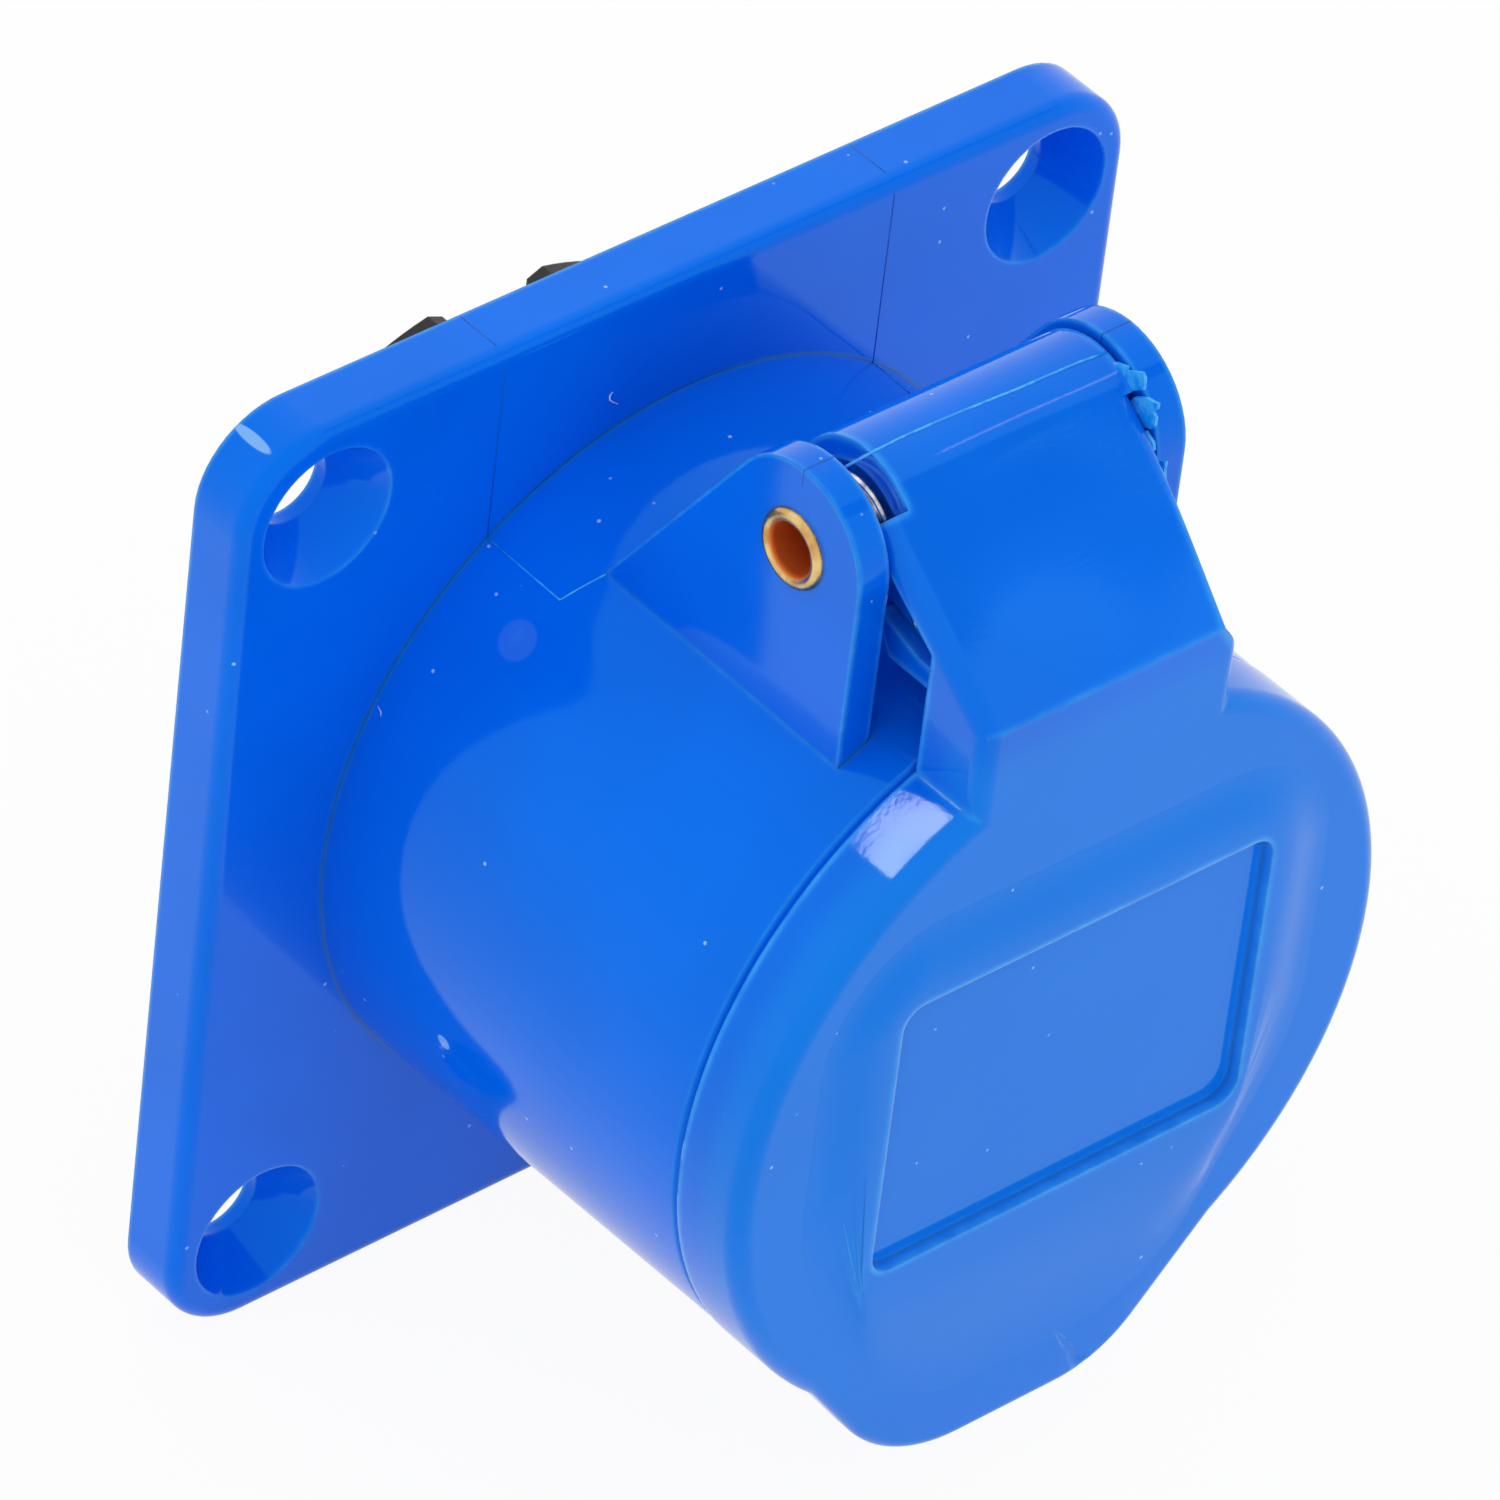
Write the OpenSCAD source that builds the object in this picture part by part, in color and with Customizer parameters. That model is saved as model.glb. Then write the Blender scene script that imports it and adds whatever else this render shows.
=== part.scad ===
/* [Flange] */
// Side of the square mounting flange
flange_w = 70; // [66:1:90]
// Thickness of the flange
flange_t = 4.5; // [3.8:0.1:6]
// Corner radius of the flange
flange_corner_r = 6; // [4:0.5:8]
// Rounding along the front edge of the flange
flange_edge_r = 1; // [0.4:0.1:1.4]
// Distance between mounting holes, the same both ways
hole_pitch = 56.8; // [54:0.2:57]
// Through diameter of a mounting hole
hole_d = 5.3; // [4.3:0.1:5.6]
// Outer diameter of the countersink
sink_d = 9.7; // [8:0.1:10.5]
// Straight length left behind the countersink
hole_land = 1; // [0.6:0.1:1.6]

/* [Barrel] */
// Outer radius of the barrel where it leaves the flange
barrel_base_r = 26; // [25.8:0.1:27]
// Outer radius of the barrel at its open end
barrel_tip_r = 25.5; // [25.2:0.1:25.7]
// Inner radius of the barrel
barrel_bore_r = 22.8; // [22.4:0.1:23.2]
// Length of the barrel in front of the flange's back face
barrel_len = 37.5; // [34:0.5:42]
// Depth of the annular floor from the back face, to its front side
floor_front = 8; // [7:0.5:10]
// Depth of the annular floor from the back face, to its rear side
floor_rear = 4; // [3:0.5:5]
// Width of the keyway at six o'clock
keyway_w = 6; // [4:0.5:8]
// Depth of the keyway
keyway_d = 1.3; // [0.8:0.1:1.5]

/* [Hinge] */
// Distance of the hinge axis behind the barrel's open end
pin_back = 9.6; // [8.6:0.1:11.5]
// Height of the hinge axis above the barrel's axis
pin_up = 34.9; // [34:0.1:36]
// Outer radius of the hollow rivet
rivet_r = 2.1; // [1.8:0.05:2.3]
// Wall of the hollow rivet
rivet_wall = 0.35; // [0.3:0.05:0.5]
// Radius of the rolled rivet rim's section
rivet_rim = 0.45; // [0.4:0.05:0.6]
// Distance between the inner faces of the two ears
ear_gap = 21; // [20.6:0.1:22]
// Thickness of an ear
ear_t = 2.3; // [1.8:0.1:3]
// Radius of an ear's top round the hinge axis
ear_r = 5.9; // [5.4:0.1:6.2]

/* [Lid] */
// Outer radius of the lid's skirt
lid_r = 25.6; // [25.2:0.1:26]
// Distance of the lid's front face in front of the barrel's open end
lid_depth = 5.7; // [5.3:0.1:6.7]
// Rounding of the lid's front rim
lid_edge_r = 1.3; // [0.8:0.1:1.6]
// Thickness of the lid's front wall
lid_wall = 1.8; // [1.4:0.1:2.2]
// Seam between the lid's skirt and the barrel
lid_seam = 0.2; // [0.15:0.05:0.4]
// Distance of the thumb nose's tip below the barrel's axis
nose_drop = 28.5; // [27.6:0.1:30]
// Corner radius of the thumb nose on the right
nose_r = 8.6; // [7:0.1:9.4]
// Half distance between the nose's corner centres
nose_half = 3.6; // [3:0.1:4.4]
// Thickness of the nose's lip
nose_lip = 1.7; // [1.6:0.1:2.4]
// Height of the raised field on the lid's face
field_h = 0.8; // [0.4:0.1:1]
// Width of the bare recess on the lid's face
recess_w = 29.5; // [24:0.1:30]
// Height of the bare recess
recess_h = 21; // [16:0.2:22]
// Depth of the bare recess
recess_d = 0.8; // [0.3:0.1:0.9]
// Width of the lid's arm
arm_w = 20.4; // [19.4:0.1:20.5]
// Slope of the arm's top panel
arm_slope = 38.5; // [36:0.5:41]
// Wall of the arm and its hood
arm_wall = 1.6; // [1.3:0.1:1.7]
// Outer radius of the hood over the hinge spring
hood_r = 5.4; // [5.2:0.1:5.6]
// Left part of the hood left open over the spring
hood_cut = 2.2; // [1.8:0.1:2.4]
// Thickness of the rubber gasket in the lid
gasket_t = 2; // [1.4:0.1:2.2]

/* [Contacts] */
// Radius of the circle that the three contacts stand on
contact_ring_r = 8.75; // [8.5:0.05:9]
// Bore radius of the line and neutral sleeves, for a 5 mm pin
sleeve_bore_r = 2.55; // [2.5:0.01:2.6]
// Bore radius of the earth sleeve, for a 6 mm pin
earth_bore_r = 3.05; // [3:0.01:3.1]
// Wall of a contact sleeve
sleeve_wall = 1.15; // [1:0.05:1.2]
// Radius of the contact carrier in the barrel
carrier_r = 18.2; // [18:0.1:18.4]
// Distance of the carrier's face behind the barrel's open end
carrier_back = 2; // [1:0.5:4]
// Radius of a terminal screw's thread
screw_r = 1.95; // [1.5:0.05:2]

/* [Rear block] */
// Radius of the rear terminal block
block_r = 21.3; // [21:0.1:21.5]
// Length of the rear terminal block behind the flange's back face
block_len = 14.3; // [13.8:0.1:18]
// Thickness of the block's base behind the back face
block_base = 2; // [1.5:0.1:3]
// Width of a line or neutral tower
tower_w = 8.4; // [8.2:0.1:8.8]
// Width of the earth tower
earth_tower_w = 9.4; // [9.3:0.1:10]

/* [Hidden] */
$fn = 96;

blue = "#1463d6";
black = "#26262a";
rubber = "#1b1b1d";
brass = "#c9a24c";
steel = "#b8bcc2";

// Fits
cut = 0.1;           // how far a cutting tool runs past a face
slip = 0.05;         // radial clearance of a part that slides or turns
loose = 0.15;        // radial clearance of a part that is dropped in
gap = 0.1;           // clearance between two stacked faces

// Housing
barrel_end = -barrel_len;
pin_at = [barrel_end + pin_back, pin_up];  // hinge axis as [y, z]
ear_inner = ear_gap / 2;
ear_outer = ear_inner + ear_t;
ear_root_len = 15.8;                       // foot of the ear behind the hinge axis
ear_root_up = 20.8;                        // foot level, inside the barrel's wall
ear_side_up = 22.2;                        // level where the ear's rear edge starts
ear_back_a = 34;                           // where the rear edge leaves the round top
tab_w = 3.8;                               // keys that stop the inserts turning
tab_h = 1.2;
barrel_lead = 0.4;                         // chamfer on the barrel's open end

// Seats of the carrier and the rear block
floor_hole_r = carrier_r - 2;
spigot_r = floor_hole_r - loose;
seat_r = block_r + loose;
stack_y = -floor_rear;                     // where carrier and block meet

// Contacts: [bore radius, angle on the contact circle, screw side]
line_at = [sleeve_bore_r, 150, 1];
neutral_at = [sleeve_bore_r, 30, 1];
earth_at = [earth_bore_r, -90, -1];
contacts = [line_at, neutral_at, earth_at];
carrier_face = barrel_end + carrier_back;
carrier_lip = 4;                           // wall in front of the sleeves
carrier_edge = 0.8;
sleeve_front = carrier_face + carrier_lip + gap;
sleeve_end = block_len - 1.8;
collar_t = 1.4;
collar_h = 1.2;                            // step of the collar over the sleeve
shank_step = 0.25;                         // the shank is this much thinner
pin_len = 27;                              // depth of the bore for the plug's pin
slot_w = 0.8;
slot_len = 16;
groove_d = 0.3;
groove_at = 2.5;                           // clip groove behind the sleeve's front
groove_w = 3;
clip_t = 0.6;
clip_gap_w = 1.6;
wire_bore_r = 2.1;
wire_bore_len = 11;
wire_entry = 0.5;                          // widening of the wire's way in

// Screws
screw_at = 7;                              // terminal screws behind the back face
screw_len = 7;
screw_head_r = 2.9;
screw_head_h = 2.2;
screw_slot_w = 0.8;
screw_slot_d = 1.1;
screw_point = 0.8;
screw_foot = 0.6;                          // tip of the screw above the bore's floor
driver_bore_r = screw_head_r + 0.4;
centre_shaft_r = 1.5;
centre_head_r = 2.8;
centre_head_h = 2;
centre_len = 14;
cross_w = 0.8;
cross_len = 3.4;
cross_d = 1.2;

// Rear block
tower_wall = 0.75;
tower_bevel_w = 1.4;                       // bevel on the inner top edge of a tower
tower_bevel_h = 0.6;

// Lid
lid_face = barrel_end - lid_depth;
skirt_rear = barrel_end - lid_seam;
skirt_wall = 1.6;
gasket_lap = 2.2;                          // width of gasket inside the barrel's bore
gasket_out_r = lid_r - skirt_wall;
gasket_in_r = barrel_bore_r - gasket_lap;
gasket_rear = barrel_end - slip;
gasket_front = gasket_rear - gasket_t;
rib_t = 0.9;                               // ring that holds the gasket
rib_back = 0.7;                            // the rib ends this far in front of the gasket's rear
rib_rear = gasket_rear - rib_back;
cove_r = 3.2;                              // cove under the thumb nose
nose_edge_r = 0.8;
nose_left_r = nose_r + 2.5;                // the left corner is rounder
nose_left_half = nose_half + 0.7;          // and stands further out
nose_root_r = lid_r - 0.7;                 // circle that the nose's flanks run from
gate_at = [2.8, -23.5];                    // where the moulding gate's dip starts on the nose
gate_len = 6.2;
gate_turn = -57;                           // its direction on the lid's face
gate_r = 1.6;
gate_dip = 0.3;
field_up = 0.8;                            // centre of the raised field and recess
field_rim = 0.8;                           // flat border round the recess
field_r = 2.2;
field_steps = 6;
foot_side = lid_r - 5.4;                   // half width of the foot of the field's slope
foot_down = nose_drop - 4.7;               // how far the foot reaches down, onto the nose
foot_up = 16.8;
// Circles [x, z, r] round the field's top and round the foot of its slope
field_top = concat(
    corners(recess_w + 2 * field_rim, recess_h + 2 * field_rim, field_r, field_up),
    [for (s = [-1, 1]) [s * (recess_w / 2 + field_rim - field_r), field_up, field_r]]
);
field_foot = [
    [-4, 10.8 - foot_down, 10.8], [4, 10.8 - foot_down, 10.8],
    [foot_side - 9, foot_up - 9, 9], [9 - foot_side, foot_up - 9, 9],
    [13.7 - foot_side, -3, 13.7], [foot_side - 13.7, -3, 13.7]
];
recess_r = 1.6;

// Lid's arm, its panel tangent to the hood over the hinge axis
arm_n = [-sin(arm_slope), cos(arm_slope)];
arm_top = pin_at + hood_r * arm_n;
arm_fold_up = pin_at[1] + (hood_r - (lid_face - pin_at[0]) * arm_n[0]) / arm_n[1];
arm_len = norm(arm_top - [lid_face, arm_fold_up]);
arm_foot_up = 22;
arm_wall_up = 32.3;                        // top of the arm's upright rear edges
arm_edge_r = 1.2;
arm_depth = 16;
arm_taper = 1.7;                           // the panel narrows by this on the right, down to the fold
arm_shoulder = 1.5;                          // the taper ends this far below the fold
arm_left_start = 1.1;                      // left of the hood the panel starts this much lower
hood_rear_a = -10;
hood_lap_a = 3;                            // the hood runs this far into the panel
lug_t = 1.6;
lug_r = hood_r - arm_wall + 0.2;
lug_left = -7.6;
lug_bore_r = rivet_r + 0.08;
ledge_left = -8.6;
ledge_up = 28;
ledge_t = 1.3;
ledge_tip = [pin_at[0] - 3.5, pin_at[1] - 4];

// Spring: a coil beside the left lug, one leg on the barrel and one on the ledge
wire_r = 0.4;
coil_r = 3.05;
coil_x = [-ear_inner + wire_r + slip, lug_left - wire_r - 2 * slip];
coil_turns = 2;
leg_rear_a = 30;
leg_front_a = 141.7;
leg_rear_x = coil_x[0];
leg_rear_up = sqrt(pow(barrel_base_r + wire_r + gap, 2) - pow(leg_rear_x, 2));
leg_front_up = ledge_up + ledge_t + 0.85;
coil_steps = 44;
wire_sides = 8;

function polar(r, a) = [r * cos(a), r * sin(a)];
function corners(w, h, r, up = 0) =
    [for (s = [[-1, -1], [1, -1], [1, 1], [-1, 1]]) [s[0] * (w / 2 - r), s[1] * (h / 2 - r) + up, r]];
// Height of the field at share t of its slope
function field_rise(t) = field_h * (1 + cos(180 * t)) / 2;
function place(c) = polar(contact_ring_r, c[1]);
function sleeve_r(c) = c[0] + sleeve_wall;
function shank_r(c) = sleeve_r(c) - shank_step;
function clip_in_r(c) = sleeve_r(c) - groove_d + slip;
function chamber_r(c) = clip_in_r(c) + clip_t + loose;

// Height of the arm's panel at y, depth below its outer face
function panel_up(y, depth = 0) =
    arm_fold_up + (y - lid_face) * tan(arm_slope) - depth / cos(arm_slope);

// Outline round circles [x, y, r] given anticlockwise
function edge_a(p, q) =
    let (d = [q[0] - p[0], q[1] - p[1]])
    atan2(d[1], d[0]) - acos((p[2] - q[2]) / norm(d));
function edge_points(p, q, inset) =
    let (a = edge_a(p, q))
    [[p[0], p[1]] + polar(p[2] - inset, a), [q[0], q[1]] + polar(q[2] - inset, a)];

module outline(c, inset = 0) {
    for (p = c) translate([p[0], p[1]]) circle(p[2] - inset);
    polygon([for (i = [0 : len(c) - 1]) each edge_points(c[i], c[(i + 1) % len(c)], inset)]);
}

// Plate of thickness t with its upper edge rounded by e all the way round
module soft_plate(c, t, e) {
    linear_extrude(t - e) outline(c);
    linear_extrude(t) outline(c, e);
    for (p = c) translate([p[0], p[1], t - e])
        rotate_extrude() translate([p[2] - e, 0]) circle(e, $fn = 32);
    for (i = [0 : len(c) - 1]) {
        pts = edge_points(c[i], c[(i + 1) % len(c)], e);
        d = pts[1] - pts[0];
        translate([pts[0][0], pts[0][1], t - e]) rotate([0, 90, atan2(d[1], d[0])])
            cylinder(h = norm(d), r = e, $fn = 32);
    }
}

// Round bar along Y from y0 to y1, centred on [x, z]
module bar_y(r, y0, y1, at = [0, 0], r2 = -1) {
    translate([at[0], y0, at[1]]) rotate([-90, 0, 0])
        cylinder(h = y1 - y0, r1 = r, r2 = r2 < 0 ? r : r2);
}

// Round bar along X on the hinge axis
module bar_x(r, x0, x1) {
    translate([x0, pin_at[0], pin_at[1]]) rotate([0, 90, 0]) cylinder(h = x1 - x0, r = r);
}

// Solid of revolution about Y from [radius, y] points
module turn_y(points) rotate([-90, 0, 0]) rotate_extrude() polygon(points);

// Extrudes a [y, z] outline along X
module side_extrude(x0, x1) {
    translate([x0, 0, 0]) rotate([90, 0, 90]) linear_extrude(x1 - x0) children();
}

// Extrudes an [x, z] outline from y0 back to y1
module front_extrude(y0, y1) {
    translate([0, y1, 0]) rotate([90, 0, 0]) linear_extrude(y1 - y0) children();
}

module flange_plate() {
    rotate([90, 0, 0]) soft_plate(corners(flange_w, flange_w, flange_corner_r), flange_t, flange_edge_r);
}

module mounting_holes() {
    for (x = [-1, 1], z = [-1, 1]) {
        at = [x, z] * hole_pitch / 2;
        bar_y(hole_d / 2, -flange_t - cut, cut, at);
        bar_y(sink_d / 2, -flange_t, -hole_land, at, hole_d / 2);
    }
}

module barrel() {
    turn_y([
        [floor_hole_r, -floor_front], [barrel_bore_r, -floor_front],
        [barrel_bore_r, barrel_end + barrel_lead], [barrel_bore_r + barrel_lead, barrel_end],
        [barrel_tip_r - barrel_lead, barrel_end], [barrel_tip_r, barrel_end + barrel_lead],
        [barrel_base_r, -flange_t], [barrel_base_r, 0],
        [seat_r, 0], [seat_r, -floor_rear], [floor_hole_r, -floor_rear]
    ]);
}

module ear_outline() {
    root_y = pin_at[0] + ear_root_len;
    translate(pin_at) circle(ear_r);
    polygon([
        pin_at, pin_at + polar(ear_r, ear_back_a), [root_y, ear_side_up], [root_y, ear_root_up],
        [pin_at[0] - ear_r, ear_root_up], [pin_at[0] - ear_r, pin_at[1]]
    ]);
}

module housing() {
    color(blue) difference() {
        union() {
            difference() {
                flange_plate();
                bar_y(seat_r + 1, -flange_t - cut, cut);
            }
            barrel();
            for (x = [-ear_outer, ear_inner]) side_extrude(x, x + ear_t) ear_outline();
            // tab in the floor that keys the contact carrier
            translate([-tab_w / 2, -floor_front, -floor_hole_r - 1])
                cube([tab_w, floor_front - floor_rear, tab_h + 1]);
            // rib in the seat that keys the terminal block
            translate([-tab_w / 2, -floor_rear, seat_r - tab_h])
                cube([tab_w, floor_rear, tab_h + 1]);
        }
        mounting_holes();
        bar_x(rivet_r + slip, -ear_outer - cut, ear_outer + cut);
        translate([-keyway_w / 2, barrel_end - cut, -barrel_bore_r - keyway_d])
            cube([keyway_w, barrel_len - floor_front + cut, keyway_d + 2]);
    }
}

// Space under the arm's outer faces, moved inwards by inset, and by trim more on the right
module arm_prism(inset, r, trim = 0) {
    ring = [for (c = corners(arm_w - 2 * inset - trim, arm_depth, r)) [c[0] - trim / 2, c[1] + arm_depth / 2, r]];
    intersection() {
        translate([0, arm_top[0], arm_top[1]]) rotate([arm_slope - 90, 0, 0])
            translate([0, inset, -arm_len - arm_depth]) linear_extrude(arm_len + arm_depth) outline(ring);
        translate([0, lid_face + inset, arm_foot_up]) linear_extrude(arm_top[1] + arm_depth - arm_foot_up)
            outline(ring);
    }
}

// Side view of the arm without its hood
module arm_side() {
    polygon([
        [lid_face - cut, arm_foot_up - cut], [skirt_rear, arm_foot_up - cut], [skirt_rear, arm_wall_up],
        arm_top - arm_wall * arm_n, arm_top + arm_n, [lid_face - cut, arm_fold_up + arm_wall]
    ]);
}

module lug_outline() {
    front = lid_face + arm_wall / 2;
    translate(pin_at) circle(lug_r);
    polygon([
        pin_at, arm_top - arm_wall / 2 * arm_n, [front, panel_up(front, arm_wall / 2)], [front, ledge_up],
        [ledge_tip[0] - 1.2, ledge_up], ledge_tip - [0.3, 1.5], pin_at + polar(lug_r, -100)
    ]);
}

module ledge_outline() {
    front = lid_face + arm_wall / 2;
    polygon([
        ledge_tip, ledge_tip - [0.3, 1.5], [ledge_tip[0] - 1.2, ledge_up], [front, ledge_up],
        [front, ledge_up + ledge_t], [ledge_tip[0] - 3.8, ledge_up + ledge_t + 0.3]
    ]);
}

module hood() {
    reach = 3 * hood_r;
    side_extrude(-arm_w / 2 + hood_cut, arm_w / 2) intersection() {
        translate(pin_at) difference() {
            circle(hood_r);
            circle(hood_r - arm_wall);
        }
        polygon([
            pin_at,
            for (a = [hood_rear_a, 30, 80, 90 + arm_slope + hood_lap_a]) pin_at + polar(reach, a)
        ]);
    }
}

module arm() {
    side = arm_w / 2;
    difference() {
        union() {
            difference() {
                intersection() {
                    arm_prism(0, arm_edge_r);
                    side_extrude(-side, side) arm_side();
                }
                difference() {
                    arm_prism(arm_wall, 0.3, arm_taper);
                    bar_y(lid_r, lid_face - cut, 0);
                }
                // left of the hood the panel starts lower
                translate([hood_cut - side, arm_top[0], arm_top[1]]) rotate([arm_slope, 0, 0])
                    translate([-arm_w, -arm_left_start, -arm_depth / 2]) cube([arm_w, arm_depth, arm_depth]);
            }
            hood();
            side_extrude(lug_left, lug_left + lug_t) lug_outline();
            side_extrude(side - lug_t, side) lug_outline();
            side_extrude(ledge_left, side - lug_t / 2) ledge_outline();
        }
        // taper of the right side
        translate([0, arm_top[0], arm_top[1]]) rotate([arm_slope - 90, 0, 0]) front_extrude(-1, arm_depth)
            polygon([
                [side, 0], [side - arm_taper, -arm_len],
                [side + cut, -arm_len - arm_shoulder], [side + cut, 0]
            ]);
    }
}

// Disc of the lid with a rounded rim
module lid_disc() {
    t = skirt_rear - lid_face;
    translate([0, skirt_rear, 0]) rotate([90, 0, 0]) {
        cylinder(h = t - lid_edge_r, r = lid_r);
        cylinder(h = t, r = lid_r - lid_edge_r);
        translate([0, 0, t - lid_edge_r]) rotate_extrude()
            translate([lid_r - lid_edge_r, 0]) circle(lid_edge_r, $fn = 48);
    }
}

// Thumb nose at the foot of the disc, a lip with a cove behind it
module lid_nose() {
    lip = lid_face + nose_lip;
    inner = lid_r - lid_wall / 2;
    ends = [
        [-nose_left_half, nose_left_r - nose_drop, nose_left_r],
        [nose_half, nose_r - nose_drop, nose_r],
        [0, 0, nose_root_r]
    ];
    difference() {
        hull() for (p = ends) translate([p[0], lid_face + nose_edge_r, p[1]]) rotate([90, 0, 0]) {
            rotate_extrude() translate([p[2] - nose_edge_r, 0]) circle(nose_edge_r, $fn = 16);
            translate([0, 0, -cove_r]) cylinder(h = cove_r, r = p[2]);
        }
        turn_y([
            [inner, skirt_rear], [inner, lip + cove_r], [lid_r, lip + cove_r],
            for (a = [195 : 15 : 270]) [lid_r + cove_r, lip + cove_r] + polar(cove_r, a),
            [2 * lid_r, lip], [2 * lid_r, skirt_rear]
        ]);
    }
}

// One level of the field's slope, at share t of its width
module field_level(t) {
    front_extrude(lid_face - field_rise(t) - cut / 20, lid_face + cut)
        for (i = [0 : len(field_top) - 1]) {
            c = field_top[i] + t * (field_foot[i] - field_top[i]);
            translate([c[0], c[1]]) circle(c[2], $fn = 32);
        }
}

// Raised field round the recess, sloping softly down to the disc
module lid_field() {
    for (i = [0 : field_steps - 1]) hull() {
        field_level(i / field_steps);
        field_level((i + 1) / field_steps);
    }
}

// Dip that the moulding gate leaves on the nose
module gate_mark() {
    translate([gate_at[0], lid_face, gate_at[1]])
        rotate([0, -gate_turn, 0]) rotate([0, 0, -atan((gate_r - gate_dip) / gate_len)])
            rotate([0, 90, 0]) cylinder(h = gate_len, r1 = 0.05, r2 = gate_r, $fn = 24);
}

module lid() {
    color(blue) {
        difference() {
            union() {
                lid_disc();
                lid_nose();
                lid_field();
                arm();
            }
            bar_y(gasket_out_r + slip, gasket_front, skirt_rear + cut);
            bar_y(gasket_in_r - slip - rib_t, lid_face + lid_wall, skirt_rear + cut);
            front_extrude(lid_face - field_h - cut, lid_face - field_h + recess_d)
                outline(corners(recess_w, recess_h, recess_r, field_up));
            bar_x(lug_bore_r, lug_left - cut, arm_w / 2 + cut);
            gate_mark();
        }
        difference() {
            bar_y(gasket_in_r - slip, gasket_front - cut, rib_rear);
            bar_y(gasket_in_r - slip - rib_t, gasket_front - 2 * cut, rib_rear + cut);
        }
    }
}

module lid_gasket() {
    color(rubber) difference() {
        bar_y(gasket_out_r, gasket_front, gasket_rear);
        bar_y(gasket_in_r, gasket_front - cut, gasket_rear + cut);
    }
}

module hinge_rivet() {
    hole_r = rivet_r - rivet_wall;
    color(brass) {
        difference() {
            bar_x(rivet_r, -ear_outer, ear_outer);
            bar_x(hole_r, -ear_outer - cut, ear_outer + cut);
        }
        for (side = [-1, 1]) translate([side * ear_outer, pin_at[0], pin_at[1]]) rotate([0, side * 90, 0])
            rotate_extrude() intersection() {
                translate([hole_r + rivet_rim, 0]) circle(rivet_rim);
                square(2 * rivet_r);
            }
    }
}

// Centre line of the spring's wire, from the tip on the barrel to the tip on the ledge
function coil_point(t) =
    let (a = leg_rear_a + t * (leg_front_a - leg_rear_a + 360 * coil_turns), p = pin_at + polar(coil_r, a))
    [coil_x[0] + t * (coil_x[1] - coil_x[0]), p[0], p[1]];
function leg_tip(a, side, x, up) =
    let (p = pin_at + polar(coil_r, a), d = side * [-sin(a), cos(a)])
    [x, p[0] + d[0] * (up - p[1]) / d[1], up];
wire_path = [
    leg_tip(leg_rear_a, -1, coil_x[0], leg_rear_up),
    for (i = [0 : coil_steps]) coil_point(i / coil_steps),
    leg_tip(leg_front_a, 1, coil_x[1], leg_front_up)
];

// Ring of points round the wire; the wire stays close to planes across X
function wire_ring(i) =
    let (
        n = len(wire_path),
        d = wire_path[min(i + 1, n - 1)] - wire_path[max(i - 1, 0)],
        side = cross(d, [1, 0, 0]) / norm(cross(d, [1, 0, 0])),
        rise = cross(side, d) / norm(d)
    )
    [for (k = [0 : wire_sides - 1])
        wire_path[i] + wire_r * (side * cos(360 * k / wire_sides) + rise * sin(360 * k / wire_sides))];

module hinge_spring() {
    n = len(wire_path);
    color(steel) polyhedron(
        points = [for (i = [0 : n - 1]) each wire_ring(i)],
        faces = [
            [for (k = [0 : wire_sides - 1]) k],
            [for (k = [wire_sides - 1 : -1 : 0]) (n - 1) * wire_sides + k],
            for (i = [0 : n - 2], k = [0 : wire_sides - 1])
                let (a = i * wire_sides + k, b = i * wire_sides + (k + 1) % wire_sides)
                [a, a + wire_sides, b + wire_sides, b]
        ]
    );
}

module contact_carrier() {
    slot_top = floor_hole_r - tab_h - loose;
    color(black) difference() {
        turn_y([
            [0, carrier_face], [carrier_r - carrier_edge, carrier_face],
            [carrier_r, carrier_face + carrier_edge], [carrier_r, -floor_front],
            [spigot_r, -floor_front], [spigot_r, stack_y - gap], [0, stack_y - gap]
        ]);
        for (c = contacts) {
            bar_y(c[0] + 0.35, carrier_face - cut, sleeve_front, place(c));
            bar_y(c[0] + 1.1, carrier_face - cut, carrier_face + 0.75, place(c), c[0] + 0.35);
            bar_y(chamber_r(c), sleeve_front - gap, stack_y, place(c));
            bar_y(sleeve_r(c) + collar_h + loose, stack_y - gap - collar_t, stack_y, place(c));
        }
        bar_y(centre_shaft_r + slip, block_base - centre_len - 0.5, stack_y);
        translate([-tab_w / 2 - loose, -floor_front - cut, -carrier_r])
            cube([tab_w + 2 * loose, floor_front, carrier_r - slot_top]);
    }
}

module tower(c, w) {
    r = shank_r(c) + gap + tower_wall;
    at = place(c);
    inner = abs(at[0]) - w / 2;
    front_extrude(0, block_len) intersection() {
        circle(block_r);
        if (c[2] > 0) scale([sign(at[0]), 1]) polygon([
            [inner, at[1] - r], [inner + w, at[1] - r], [inner + w, block_r],
            [inner + tower_bevel_w, block_r], [inner + tower_bevel_w, block_r - 0.4],
            [inner, block_r - 0.4 - tower_bevel_h]
        ]);
        else translate([-w / 2, -block_r]) square([w, block_r + at[1] + r]);
    }
}

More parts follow.
